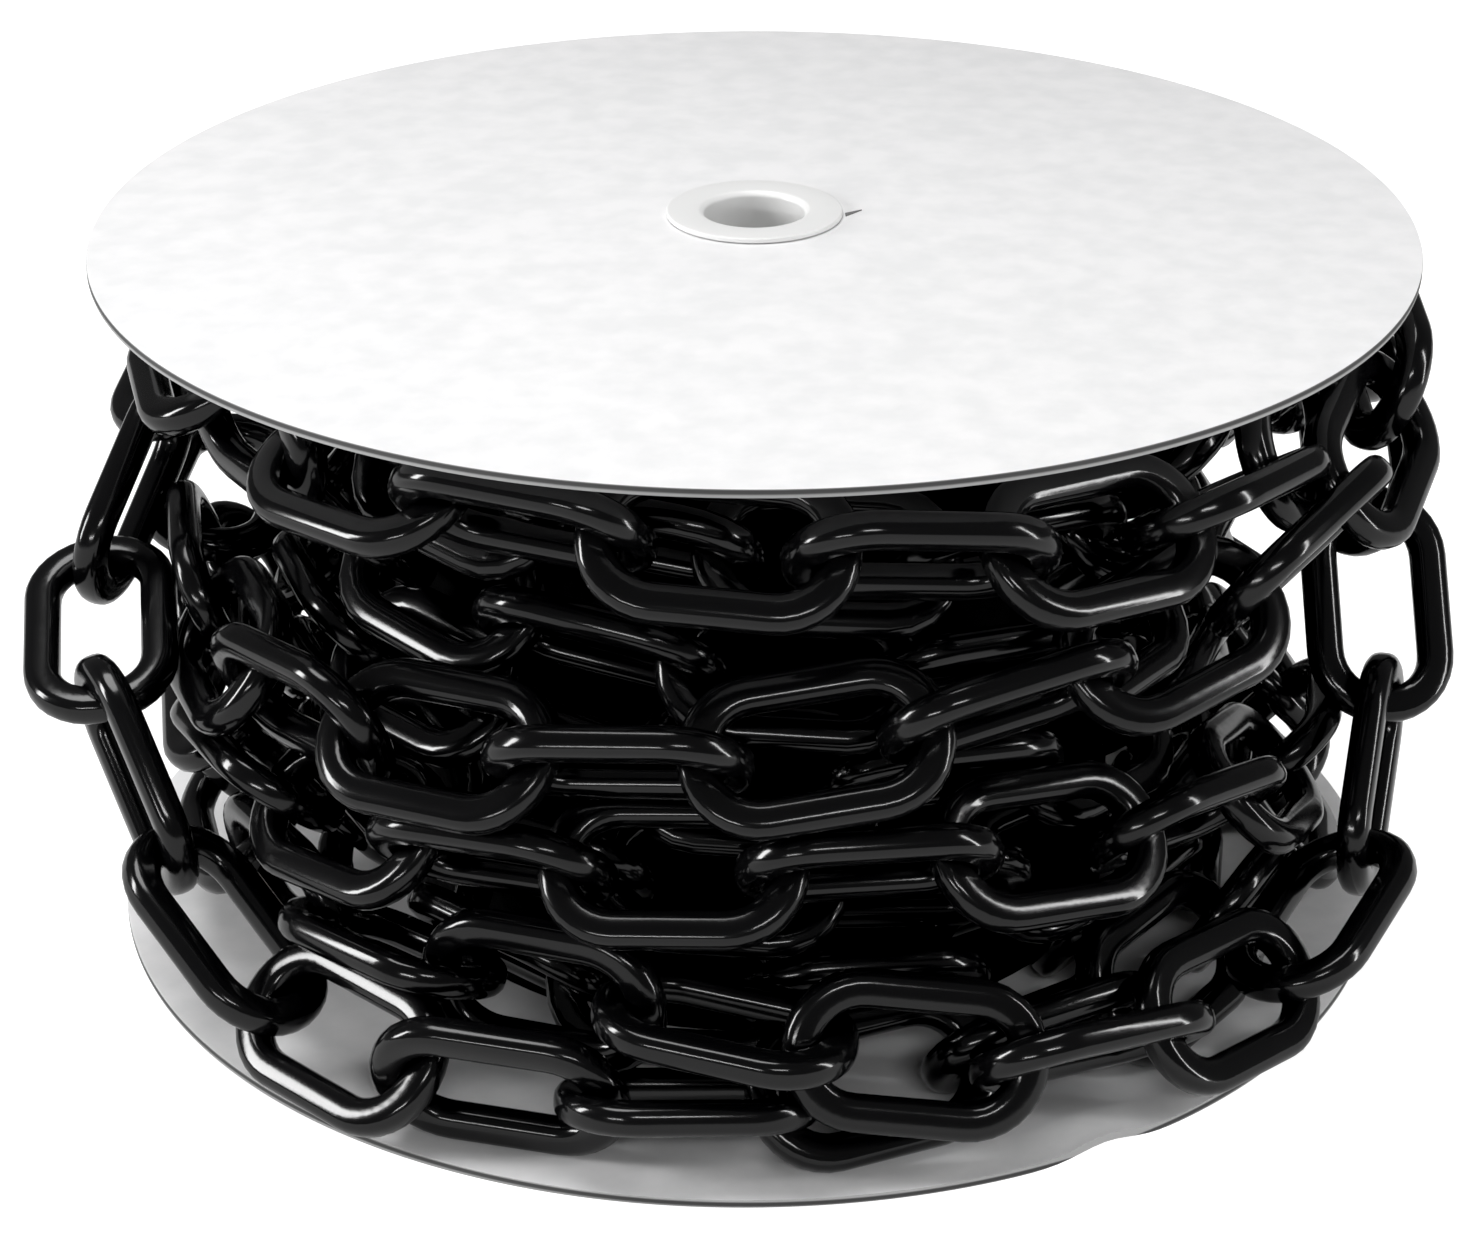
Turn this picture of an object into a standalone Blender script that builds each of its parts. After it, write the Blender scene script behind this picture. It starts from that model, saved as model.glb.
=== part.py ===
# A reel of black plastic barrier chain: two board flanges on a core tube, a bush at each
# end of the spindle bore, and one long chain wound on the tube between the flanges.
# Metres, +Z up. The reel stands on its bottom flange, centred on the spindle axis.
import math

import bmesh
import bpy
import numpy as np

MM = 0.001

# Reel
FLANGE_RADIUS = 0.135
FLANGE_THICKNESS = 0.0018
REEL_HEIGHT = 0.148
FLANGE_DOME = 0.002
FLANGE_SIDES = 72
TUBE_RADIUS = 0.030
TUBE_BORE = 0.0262
BUSH_HEAD_RADIUS = 0.018
BUSH_HEAD_THICKNESS = 0.0009
BUSH_SLEEVE_RADIUS = 0.0130
BUSH_BORE_RADIUS = 0.0103
BUSH_LIP_RADIUS = 0.0119
BUSH_LIP_DEPTH = 0.0010
BUSH_DEPTH = 0.022
ROUND_SIDES = 40
SECTION_SIDES = 6
SHARP_EDGE = 35
GAP = 0.0003

# Hidden inner layers of the winding, as one ring, and what the outer layer is wound on
CORE_RADIUS = 0.0765
WOUND_RADIUS = 0.1000
WOUND_GAP = 0.0004

# One moulded link: centreline half length and half width, and the section of its wire
LINK_HALF_LENGTH = 0.0220
LINK_HALF_WIDTH = 0.0120
LINK_END_FLAT = 0.0042
LINK_SHOULDER = 0.0146
WIRE_WIDTH = 0.0070
WIRE_THICKNESS = 0.0058
PITCH = 0.0370
FUSED_HALF_LENGTH = 0.0215
LOOSE_HALF_LENGTH = 0.0222

# Settling of the chain
WIRE_CLEARANCE = 0.0074
NEIGHBOUR_CLEARANCE = 0.0070
SPIN_ARM = 0.015
SETTLE_ROUNDS = 480
INNER_ROUNDS = 360
LIFT = 4
LIFTED_SHARE = 0.4
FADING_SHARE = 0.35
FADING_POWER = 1.5
RAMP_SHARE = 0.2
HOME_HOLD = 0.15
HOME_TURN = 0.5
PUSH_SHARE = 0.4
JOINT_SHARE = 0.6
NEARLY_NOTHING = 1e-9
PARALLEL = 1e-6

# The outer winding as joints between links, in degrees and millimetres: angle round the
# reel from the front, growing to the right; height over the middle of the reel; distance
# from the axis; roll of the link that starts there. Roll 0 has one bar straight out, 90 lies
# flat against the winding, 45 has its upper bar out and -45 its lower bar. Long spans are
# filled with links that turn by about 90 degrees from one to the next.
MID_HEIGHT = REEL_HEIGHT / 2
ROUTE = [
    (-112, 6, 118, 45),
    (-94, 4, 121, 45),
    (-76, 3, 125, -45),
    (-58, 7, 128, 80),
    (-40, 6, 127, -45),
    (-21, 8, 127, 45),
    (-3, 11, 126, -45),
    (14, 17, 126, 45),
    (31, 26, 127, -45),
    (49, 28, 128, 50),
    (67, 38, 128, -30),
    (83, 46, 127, 45),
    (99, 56, 123, -45),
    (117, 59, 118, 45),
    (180, 59, 118, 45),
    (276, 59, 118, -45),
    (294, 59, 119, -60),
    (312, 59, 122, -45),
    (332, 60, 124, 45),
    (349.5, 58, 125, -45),
    (367, 56, 125, 45),
    (385.5, 50, 124, -45),
    (403.5, 45, 122, 45),
    (420, 47, 118, -45),
    (434, 48, 114, 45),
    (452, 41, 112.5, 45),
    (471, 28, 113, -45),
    (491, 17, 114, 45),
    (540, 12, 117, 45),
    (630, -18, 118, -45),
    (648, -22, 118, 45),
    (666, -22, 119, -45),
    (684, -17, 122, 45),
    (702, -12, 124, -45),
    (720.5, -8, 124, 45),
    (740, -10, 125, -45),
    (758.5, -16, 125, 45),
    (778, -22, 123, -45),
    (795, -31, 118, 45),
    (813, -35, 117, -45),
    (900, -37, 118, 45),
    (995, -45, 118, -45),
    (1013, -48, 119, 45),
    (1033, -50, 121, 33),
    (1051, -48, 121, -80),
    (1068, -46, 127, 5),
    (1085, -47, 131, -80),
    (1101.5, -51, 132, 28),
    (1118, -54, 132, -50),
    (1135, -60, 133, 15),
    (1151.5, -51, 132, 80),
    (1159, -21, 131, 5),
    (1170, 10, 130, 50),
    (1184, 36, 131, -45),
    (1200, 40, 129, 45),
    (1214, 39, 123, -45),
    (1248, 37, 119, 45),
    (1330, 40, 120, -45),
    (1348, 28, 122, -60),
    (1357, 4, 130, 5),
    (1372, -5, 136, 75),
    (1377, -34, 136, 15),
    (1393.5, -52, 135, -45),
    (1411, -56, 131, 75),
    (1428, -60, 127, 22),
    (1445, -61, 124, -50),
    (1462, -60, 121, 45),
    (1480, -59, 117, -45),
    (1498, -59, 116, 45),
    (1552, -60, 118, -45),
    (1607, -60, 118, 45),
]
BACK_ANGLES = (180, 540, 900, 1260)

# The layer below, which shows between the outer turns: a helix that sinks towards the right
# of the front and stands out further there
INNER_START = -180
INNER_END = 1640
INNER_LOWEST = 90
INNER_RISE = 24
INNER_SWAY = 14
INNER_REACH = 60
INNER_RADIUS = 91
INNER_BULGE = 7
BULGE_EDGE = 0.5
BULGE_SLOPE = 0.3
INNER_SPACING = 37.25
INNER_BACK_ANGLES = (180, 540, 900, 1260)


def joint_point(angle, height, radius):
    turn = math.radians(angle)
    return np.array((radius * math.sin(turn), -radius * math.cos(turn), height))


def half_turn_difference(wanted, start):
    return (wanted - start + 90) % 180 - 90


def filled_route(route):
    joints = []
    rolls = []
    angles = []
    for here, there in zip(route, route[1:]):
        radius = (here[2] + there[2]) / 2
        run = math.radians(there[0] - here[0]) * radius
        length = MM * math.dist((run, here[1], here[2]), (0, there[1], there[2]))
        count = max(1, round(length / PITCH))
        drift = half_turn_difference(there[3], here[3] + 90 * count) / count
        for step in range(count):
            share = step / count
            joints.append(joint_point(*(here[i] + (there[i] - here[i]) * share for i in range(3))))
            rolls.append(here[3] + (90 + drift) * step)
            angles.append(here[0] + (there[0] - here[0]) * share)
    joints.append(joint_point(*route[-1][:3]))
    return MM * np.array(joints), np.radians(rolls), np.array(angles)


def inner_winding():
    turns = np.arange(INNER_START, INNER_END, 0.5)
    bends = np.radians(turns)
    climb = INNER_RISE * (turns - INNER_LOWEST) / 360 + INNER_SWAY * (1 - np.sin(bends))
    heights = np.clip(climb - INNER_REACH, -INNER_REACH, INNER_REACH)
    radii = INNER_RADIUS + INNER_BULGE * np.clip((np.cos(bends) - BULGE_EDGE) / BULGE_SLOPE, 0, 1)
    points = np.stack((radii * np.sin(bends), -radii * np.cos(bends), heights), axis=1)
    lengths = np.concatenate(((0,), np.cumsum(np.linalg.norm(np.diff(points, axis=0), axis=1))))
    marks = np.arange(0, lengths[-1], INNER_SPACING)
    joints = np.stack([np.interp(marks, lengths, points[:, i]) for i in range(3)], axis=1)
    rolls = 45 + 90 * np.arange(len(joints) - 1)
    return MM * joints, np.radians(rolls), np.interp(marks, lengths, turns)[:-1]


def unit(vectors):
    return vectors / np.linalg.norm(vectors, axis=-1, keepdims=True)


def link_frames(joints, rolls):
    centres = (joints[1:] + joints[:-1]) / 2
    along = unit(joints[1:] - joints[:-1])
    outward = centres * (1, 1, 0)
    outward = unit(outward - np.sum(outward * along, axis=1, keepdims=True) * along)
    upward = np.cross(outward, along)
    across = np.cos(rolls)[:, None] * outward + np.sin(rolls)[:, None] * upward
    return centres, np.stack((along, across, np.cross(along, across)), axis=2)


def link_path(back=LINK_HALF_LENGTH, front=LINK_HALF_LENGTH):
    quarter = ((LINK_SHOULDER, LINK_HALF_WIDTH), (None, LINK_END_FLAT))
    right = [(front if x is None else x, y) for x, y in quarter]
    left = [(-(back if x is None else x), y) for x, y in quarter]
    lower = [(x, -y) for x, y in reversed(right)] + [(x, -y) for x, y in left]
    return np.array(right + lower + list(reversed(left)))


def closest_points(p1, q1, p2, q2):
    d1 = q1 - p1
    d2 = q2 - p2
    r = p1 - p2
    a = np.sum(d1 * d1, axis=-1)
    e = np.sum(d2 * d2, axis=-1)
    b = np.sum(d1 * d2, axis=-1)
    c = np.sum(d1 * r, axis=-1)
    f = np.sum(d2 * r, axis=-1)
    spread = a * e - b * b
    s = np.where(spread > PARALLEL * a * e, (b * f - c * e) / np.maximum(spread, NEARLY_NOTHING ** 2), 0.5)
    s = np.clip(s, 0, 1)
    t = np.clip((b * s + f) / e, 0, 1)
    s = np.clip((b * t - c) / a, 0, 1)
    return p1 + d1 * s[..., None], p2 + d2 * t[..., None]


class Chain:
    # The first held links stay where they are, and the others settle round them
    def __init__(self, centres, frames, low, high, inner_radius, held=0):
        self.centres = centres.copy()
        self.frames = frames.copy()
        self.home = centres.copy(), frames.copy()
        self.low = low
        self.high = high
        self.inner_radius = inner_radius
        self.held = held
        self.corners = link_path()
        self.moves = np.zeros_like(centres)
        self.turns = np.zeros_like(centres)

    def paths(self):
        return self.centres[:, None] + np.einsum("pi,kji->kpj", self.corners, self.frames[:, :, :2])

    def push(self, links, points, normals, depths, others=None, other_points=None, share=PUSH_SHARE):
        arm = np.cross(points - self.centres[links], normals)
        mass = 1 + np.sum(arm * arm, axis=1) / SPIN_ARM ** 2
        if others is not None:
            other_arm = np.cross(other_points - self.centres[others], normals)
            mass = mass + 1 + np.sum(other_arm * other_arm, axis=1) / SPIN_ARM ** 2
        size = (share * depths / mass)[:, None]
        np.add.at(self.moves, links, size * normals)
        np.add.at(self.turns, links, size * arm / SPIN_ARM ** 2)
        if others is not None:
            np.add.at(self.moves, others, -size * normals)
            np.add.at(self.turns, others, -size * other_arm / SPIN_ARM ** 2)

    def apply(self):
        self.moves[:self.held] = 0
        self.turns[:self.held] = 0
        self.centres += self.moves
        turned = self.frames + np.cross(self.turns[:, None, :], self.frames.transpose(0, 2, 1)).transpose(0, 2, 1)
        along = unit(turned[:, :, 0])
        across = turned[:, :, 1]
        across = unit(across - np.sum(across * along, axis=1, keepdims=True) * along)
        self.frames = np.stack((along, across, np.cross(along, across)), axis=2)
        self.moves[:] = 0
        self.turns[:] = 0

    def hold_joints(self):
        links = np.arange(self.held, len(self.centres) - 1)
        ends = self.centres[links] + self.frames[links, :, 0] * PITCH / 2
        starts = self.centres[links + 1] - self.frames[links + 1, :, 0] * PITCH / 2
        apart = starts - ends
        size = np.linalg.norm(apart, axis=1)
        self.push(links, ends, apart / np.maximum(size, NEARLY_NOTHING)[:, None], size, links + 1, starts, JOINT_SHARE)

    def part_wires(self, clearance, neighbour_clearance):
        near = 2 * (LINK_HALF_LENGTH + clearance / 2)
        offsets = np.linalg.norm(self.centres[:, None] - self.centres[None], axis=2)
        first, second = np.nonzero(np.triu(offsets < near, 1))
        first, second = first[second >= self.held], second[second >= self.held]
        paths = self.paths()
        ends = np.roll(paths, -1, axis=1)
        sides = paths.shape[1]
        a, b = closest_points(
            paths[first][:, :, None], ends[first][:, :, None],
            paths[second][:, None], ends[second][:, None],
        )
        apart = np.linalg.norm(a - b, axis=3).reshape(len(first), -1)
        a = a.reshape(len(first), sides * sides, 3)
        b = b.reshape(len(first), sides * sides, 3)
        hooked = (second - first == 1) & (second != self.held)
        allowed = np.where(hooked, neighbour_clearance, clearance)
        row, spot = np.nonzero(apart < allowed[:, None])
        size = apart[row, spot]
        tally = np.bincount(row, minlength=len(first))[row]
        normals = (a[row, spot] - b[row, spot]) / np.maximum(size, NEARLY_NOTHING)[:, None]
        depths = (allowed[row] - size) / np.sqrt(tally)
        self.push(first[row], a[row, spot], normals, depths, second[row], b[row, spot])

    def contain(self):
        paths = self.paths()
        middles = (paths + np.roll(paths, -1, axis=1)) / 2
        points = np.concatenate((paths, middles), axis=1)
        rows = np.arange(len(points))
        highest = points[rows, np.argmax(points[:, :, 2], axis=1)]
        lowest = points[rows, np.argmin(points[:, :, 2], axis=1)]
        down = np.tile((0.0, 0.0, -1.0), (len(points), 1))
        self.push(rows, highest, down, np.maximum(highest[:, 2] - self.high, 0))
        self.push(rows, lowest, -down, np.maximum(self.low - lowest[:, 2], 0))
        radii = np.linalg.norm(points[:, :, :2], axis=2)
        inner = points[rows, np.argmin(radii, axis=1)]
        radius = np.linalg.norm(inner[:, :2], axis=1)
        outward = inner * (1, 1, 0) / radius[:, None]
        self.push(rows, inner, outward, np.maximum(self.inner_radius - radius, 0))

    def pull_home(self, strength, lift):
        centres, frames = self.home
        flat = centres * (1, 1, 0)
        radius = np.linalg.norm(flat, axis=1, keepdims=True)
        lifted = centres + flat / radius * lift * (radius - np.min(radius))
        self.moves += strength * (lifted - self.centres)
        self.turns -= strength * HOME_TURN * np.sum(np.cross(frames, self.frames, axis=1), axis=2)

    def settle(self, rounds, lift):
        self.pull_home(1, lift)
        self.apply()
        for round_number in range(rounds):
            progress = round_number / rounds
            closing = min(1, progress / LIFTED_SHARE)
            closed = max(0, progress - LIFTED_SHARE)
            hold = HOME_HOLD * max(0, 1 - closed / FADING_SHARE) ** FADING_POWER
            self.pull_home(hold, lift * (1 - closing))
            if closing == 1:
                self.hold_joints()
            self.part_wires(WIRE_CLEARANCE, NEIGHBOUR_CLEARANCE * min(1, closed / RAMP_SHARE))
            self.contain()
            self.apply()


# Meshes and objects
def mesh_of(name, build):
    shape = bmesh.new()
    build(shape)
    bmesh.ops.recalc_face_normals(shape, faces=shape.faces)
    mesh = bpy.data.meshes.new(name)
    shape.to_mesh(mesh)
    shape.free()
    mesh.shade_smooth()
    mesh.set_sharp_from_angle(angle=math.radians(SHARP_EDGE))
    return mesh


def add_object(name, build, material):
    made = bpy.data.objects.new(name, mesh_of(name, build))
    made.data.materials.append(material)
    bpy.context.scene.collection.objects.link(made)
    return made


def add_material(name, colour, roughness):
    material = bpy.data.materials.new(name)
    material.use_nodes = True
    shader = material.node_tree.nodes["Principled BSDF"]
    shader.inputs["Base Color"].default_value = (*colour, 1)
    shader.inputs["Roughness"].default_value = roughness
    shader.inputs["Metallic"].default_value = 0.0
    return material


def turned(profile, sides):
    # A closed profile of (radius, height) points, spun round the axis
    def build(shape):
        rings = []
        for radius, height in profile:
            angles = [math.tau * step / sides for step in range(sides)]
            rings.append([shape.verts.new((radius * math.cos(a), radius * math.sin(a), height)) for a in angles])
        for ring, following in zip(rings, rings[1:] + rings[:1]):
            for step in range(sides):
                ahead = (step + 1) % sides
                shape.faces.new((ring[step], ring[ahead], following[ahead], following[step]))
    return build


def bottom_flange_profile():
    hole = BUSH_SLEEVE_RADIUS + GAP
    pocket = BUSH_HEAD_RADIUS + GAP
    step = BUSH_HEAD_THICKNESS + GAP
    return [
        (FLANGE_RADIUS, 0), (FLANGE_RADIUS, FLANGE_THICKNESS), (hole, FLANGE_THICKNESS),
        (hole, step), (pocket, step), (pocket, 0),
    ]


def top_flange_rise(radius):
    return FLANGE_DOME * (FLANGE_RADIUS - radius) / (FLANGE_RADIUS - BUSH_SLEEVE_RADIUS)


def top_flange_profile():
    hole = BUSH_SLEEVE_RADIUS + GAP
    crown = REEL_HEIGHT + top_flange_rise(hole)
    return [
        (FLANGE_RADIUS, REEL_HEIGHT), (FLANGE_RADIUS, REEL_HEIGHT - FLANGE_THICKNESS),
        (hole, crown - FLANGE_THICKNESS), (hole, crown),
    ]


def bush_profile(face, inward):
    under = face + inward * BUSH_HEAD_THICKNESS
    end = face + inward * BUSH_DEPTH
    return [
        (BUSH_HEAD_RADIUS, face), (BUSH_HEAD_RADIUS, under), (BUSH_SLEEVE_RADIUS, under),
        (BUSH_SLEEVE_RADIUS, end), (BUSH_BORE_RADIUS, end),
        (BUSH_BORE_RADIUS, face + inward * BUSH_LIP_DEPTH), (BUSH_LIP_RADIUS, face),
    ]


def ring_profile(outer, inner, low, high):
    return [(outer, low), (outer, high), (inner, high), (inner, low)]


def make_reel():
    board = add_material("white_board", (0.86, 0.86, 0.85), 0.45)
    plastic = add_material("white_plastic", (0.84, 0.84, 0.83), 0.35)
    card = add_material("grey_card", (0.45, 0.42, 0.38), 0.8)
    inner_floor = FLANGE_THICKNESS + GAP
    tube_top = REEL_HEIGHT - FLANGE_THICKNESS + top_flange_rise(TUBE_RADIUS) - GAP
    bush_top = REEL_HEIGHT + top_flange_rise(BUSH_HEAD_RADIUS) + GAP + BUSH_HEAD_THICKNESS
    add_object("bottom_flange", turned(bottom_flange_profile(), FLANGE_SIDES), board)
    add_object("top_flange", turned(top_flange_profile(), FLANGE_SIDES), board)
    add_object("core_tube", turned(ring_profile(TUBE_RADIUS, TUBE_BORE, inner_floor, tube_top), ROUND_SIDES), card)
    add_object("bottom_bush", turned(bush_profile(0, 1), ROUND_SIDES), plastic)
    add_object("top_bush", turned(bush_profile(bush_top, -1), ROUND_SIDES), plastic)


def link_builder(centres, frames, paths):
    # Closed tubes with a six-sided section, one for each link
    section = [(WIRE_WIDTH / 2 * math.cos(a), WIRE_THICKNESS / math.sqrt(3) * math.sin(a))
               for a in (math.tau * step / SECTION_SIDES for step in range(SECTION_SIDES))]

    def build(shape):
        for centre, frame, path in zip(centres, frames, paths):
            ahead = unit(np.roll(path, -1, axis=0) - path)
            behind = unit(path - np.roll(path, 1, axis=0))
            bisector = unit(ahead - behind)
            normals = np.stack((ahead[:, 1], -ahead[:, 0]), axis=1)
            mitre = bisector / np.sum(bisector * normals, axis=1, keepdims=True)
            rings = []
            for point, side in zip(path, mitre):
                flat = [(*(point + side * u), v) for u, v in section]
                rings.append([shape.verts.new(centre + frame @ np.array(place)) for place in flat])
            for ring, following in zip(rings, rings[1:] + rings[:1]):
                for step in range(SECTION_SIDES):
                    other = (step + 1) % SECTION_SIDES
                    shape.faces.new((ring[step], ring[other], following[other], following[step]))
    return build


def make_turn(name, chain, first, last, material):
    links = range(first, last)
    paths = [
        link_path(LOOSE_HALF_LENGTH if k == first else FUSED_HALF_LENGTH,
                  LOOSE_HALF_LENGTH if k == last - 1 else FUSED_HALF_LENGTH)
        for k in links
    ]
    halves = []
    for start, half in ((0, name), (1, name + "_other_links")):
        picked = list(links)[start::2]
        build = link_builder(chain.centres[picked], chain.frames[picked], paths[start::2])
        halves.append(add_object(half, build, material))
    joined, other = halves
    union = joined.modifiers.new("hooked_links", "BOOLEAN")
    union.operation = "UNION"
    union.solver = "EXACT"
    union.object = other
    other.hide_render = True
    other.display_type = "WIRE"
    for half in halves:
        half.location = (0, 0, MID_HEIGHT)


def settled_layers():
    # The outer winding first, then the layer below it, fitted in behind the outer links
    wall = MID_HEIGHT - FLANGE_THICKNESS - WIRE_WIDTH / 2 - GAP
    reach = WOUND_GAP + WIRE_WIDTH / 2
    joints, rolls, angles = filled_route(ROUTE)
    centres, frames = link_frames(joints, rolls)
    outer = Chain(centres, frames, -wall, wall, WOUND_RADIUS + reach)
    outer.settle(SETTLE_ROUNDS, LIFT)
    outer_count = len(centres)
    outer_cuts = [0, *np.searchsorted(angles, BACK_ANGLES), outer_count]

    joints, rolls, angles = inner_winding()
    centres, frames = link_frames(joints, rolls)
    both = Chain(np.concatenate((outer.centres, centres)), np.concatenate((outer.frames, frames)),
                 -wall, wall, CORE_RADIUS + reach, held=outer_count)
    both.settle(INNER_ROUNDS, 0)
    inner_cuts = [0, *np.searchsorted(angles, INNER_BACK_ANGLES), len(centres)]
    return both, outer_cuts, [outer_count + cut for cut in inner_cuts]


def make_chain():
    black = add_material("black_plastic", (0.012, 0.012, 0.013), 0.2)
    ring = ring_profile(CORE_RADIUS, TUBE_RADIUS + GAP, FLANGE_THICKNESS + GAP, REEL_HEIGHT - FLANGE_THICKNESS - GAP)
    add_object("wound_chain_core", turned(ring, FLANGE_SIDES), black)
    chain, outer_cuts, inner_cuts = settled_layers()
    for layer, cuts in (("chain_turn", outer_cuts), ("inner_turn", inner_cuts)):
        for turn, (first, last) in enumerate(zip(cuts, cuts[1:]), 1):
            make_turn(f"{layer}_{turn}", chain, int(first), int(last), black)


for old in list(bpy.data.objects):
    bpy.data.objects.remove(old, do_unlink=True)
make_reel()
make_chain()
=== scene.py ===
import math

import bmesh
import bpy
import numpy as np
from mathutils import Matrix, Vector


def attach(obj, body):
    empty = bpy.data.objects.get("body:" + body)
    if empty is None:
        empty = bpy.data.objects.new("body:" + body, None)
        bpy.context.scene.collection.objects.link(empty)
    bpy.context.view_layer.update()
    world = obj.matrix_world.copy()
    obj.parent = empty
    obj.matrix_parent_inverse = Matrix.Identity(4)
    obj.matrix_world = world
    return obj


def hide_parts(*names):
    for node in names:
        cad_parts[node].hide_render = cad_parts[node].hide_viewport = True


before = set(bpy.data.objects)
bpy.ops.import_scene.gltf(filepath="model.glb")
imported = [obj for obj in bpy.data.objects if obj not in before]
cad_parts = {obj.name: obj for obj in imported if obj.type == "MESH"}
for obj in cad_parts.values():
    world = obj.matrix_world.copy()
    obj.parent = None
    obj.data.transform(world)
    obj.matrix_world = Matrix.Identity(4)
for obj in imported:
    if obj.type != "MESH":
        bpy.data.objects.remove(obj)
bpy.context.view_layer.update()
mm = 0.001

# the camera that the photograph was taken with, worked out from the two flange outlines
photo = {"width": 1480, "height": 1248, "sensor": 36.0, "lens": 90.0, "distance": 0.7965,
         "pitch": 25.85, "aimHeight": 0.0569, "axisPixel": 754.5, "clipStart": 0.01}


def addCamera():
    data = bpy.data.cameras.new("studioCamera")
    data.sensor_width = photo["sensor"]
    data.lens = photo["lens"]
    data.clip_start = photo["clipStart"]
    data.shift_x = (photo["width"] / 2 - photo["axisPixel"]) / photo["width"]
    camera = bpy.data.objects.new("studioCamera", data)
    pitch = math.radians(photo["pitch"])
    camera.location = (0, -photo["distance"] * math.cos(pitch),
                       photo["aimHeight"] + photo["distance"] * math.sin(pitch))
    camera.rotation_euler = (math.radians(90) - pitch, 0, 0)
    bpy.context.scene.collection.objects.link(camera)
    bpy.context.scene.camera = camera


addCamera()
print("camera placed")

# each finish: its colour, its gloss and the size, roughness, spread and bump of its grain
finishes = {
    "glossBlackPlastic": {"colour": (0.0035, 0.0035, 0.0038, 1), "specular": 0.42, "scale": 180,
                          "roughness": 0.14, "spread": 0.1, "strength": 0.08, "depth": 0.4},
    "whiteBoard": {"colour": (0.875, 0.87, 0.875, 1), "mottle": (0.81, 0.81, 0.815, 1), "mottleScale": 130,
                   "mottleDetail": 5, "mottleSpan": (0.35, 0.65), "specular": 0.2, "scale": 260,
                   "roughness": 0.5, "spread": 0.08, "strength": 0.15, "depth": 0.3},
    "whitePlastic": {"colour": (0.84, 0.84, 0.835, 1), "specular": 0.5, "scale": 320,
                     "roughness": 0.35, "spread": 0.06, "strength": 0.1, "depth": 0.2},
    "greyCard": {"colour": (0.42, 0.38, 0.33, 1), "specular": 0.5, "scale": 420,
                 "roughness": 0.85, "spread": 0.1, "strength": 0.3, "depth": 0.3},
    # the hidden winding: the chain's black made darker and duller, painted shade between the hidden links
    "shadedWinding": {"colour": (0.002, 0.002, 0.0022, 1), "specular": 0.05, "scale": 90,
                      "roughness": 0.6, "spread": 0.2, "strength": 0.6, "depth": 2.0},
}
grainWaves = {"fineDetail": 4, "broadScale": 38, "broadDetail": 3}


def newMaterial(name):
    material = bpy.data.materials.new(name)
    material.use_nodes = True
    nodes = material.node_tree.nodes
    return material, material.node_tree, nodes["Principled BSDF"]


def addNode(tree, kind, **values):
    node = tree.nodes.new(kind)
    for name, value in values.items():
        setattr(node, name, value)
    return node


def groupSocket(group, name, kind, output=False, value=None):
    socket = group.interface.new_socket(name=name, in_out="OUTPUT" if output else "INPUT", socket_type=kind)
    if value is not None:
        socket.default_value = value
    return socket


def finishGrain():
    # fine waves and specks of a moulded or pressed surface, on Object coordinates
    group = bpy.data.node_groups.new("finishGrain", "ShaderNodeTree")
    groupSocket(group, "Scale", "NodeSocketFloat", value=300.0)
    groupSocket(group, "Base Roughness", "NodeSocketFloat", value=0.3)
    groupSocket(group, "Spread", "NodeSocketFloat", value=0.1)
    groupSocket(group, "Roughness", "NodeSocketFloat", output=True)
    groupSocket(group, "Height", "NodeSocketFloat", output=True)
    start = addNode(group, "NodeGroupInput")
    end = addNode(group, "NodeGroupOutput")
    place = addNode(group, "ShaderNodeTexCoord")
    noise = addNode(group, "ShaderNodeTexNoise")
    noise.inputs["Detail"].default_value = grainWaves["fineDetail"]
    broad = addNode(group, "ShaderNodeTexNoise")
    broad.inputs["Scale"].default_value = grainWaves["broadScale"]
    broad.inputs["Detail"].default_value = grainWaves["broadDetail"]
    join = group.links.new
    join(place.outputs["Object"], noise.inputs["Vector"])
    join(start.outputs["Scale"], noise.inputs["Scale"])
    join(place.outputs["Object"], broad.inputs["Vector"])
    centred = addNode(group, "ShaderNodeMath", operation="SUBTRACT")
    centred.inputs[1].default_value = 0.5
    join(broad.outputs["Fac"], centred.inputs[0])
    spread = addNode(group, "ShaderNodeMath", operation="MULTIPLY_ADD")
    join(centred.outputs[0], spread.inputs[0])
    join(start.outputs["Spread"], spread.inputs[1])
    join(start.outputs["Base Roughness"], spread.inputs[2])
    join(spread.outputs[0], end.inputs["Roughness"])
    join(noise.outputs["Fac"], end.inputs["Height"])
    return group


grain = finishGrain()


def makeFinish(name):
    material, tree, shader = newMaterial(name)
    finish = finishes[name]
    shader.inputs["Base Color"].default_value = finish["colour"]
    shader.inputs["Specular IOR Level"].default_value = finish["specular"]
    waves = addNode(tree, "ShaderNodeGroup", node_tree=grain)
    waves.inputs["Scale"].default_value = finish["scale"]
    waves.inputs["Base Roughness"].default_value = finish["roughness"]
    waves.inputs["Spread"].default_value = finish["spread"]
    bump = addNode(tree, "ShaderNodeBump")
    bump.inputs["Strength"].default_value = finish["strength"]
    bump.inputs["Distance"].default_value = mm * finish["depth"]
    tree.links.new(waves.outputs["Height"], bump.inputs["Height"])
    tree.links.new(waves.outputs["Roughness"], shader.inputs["Roughness"])
    tree.links.new(bump.outputs["Normal"], shader.inputs["Normal"])
    return material


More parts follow.
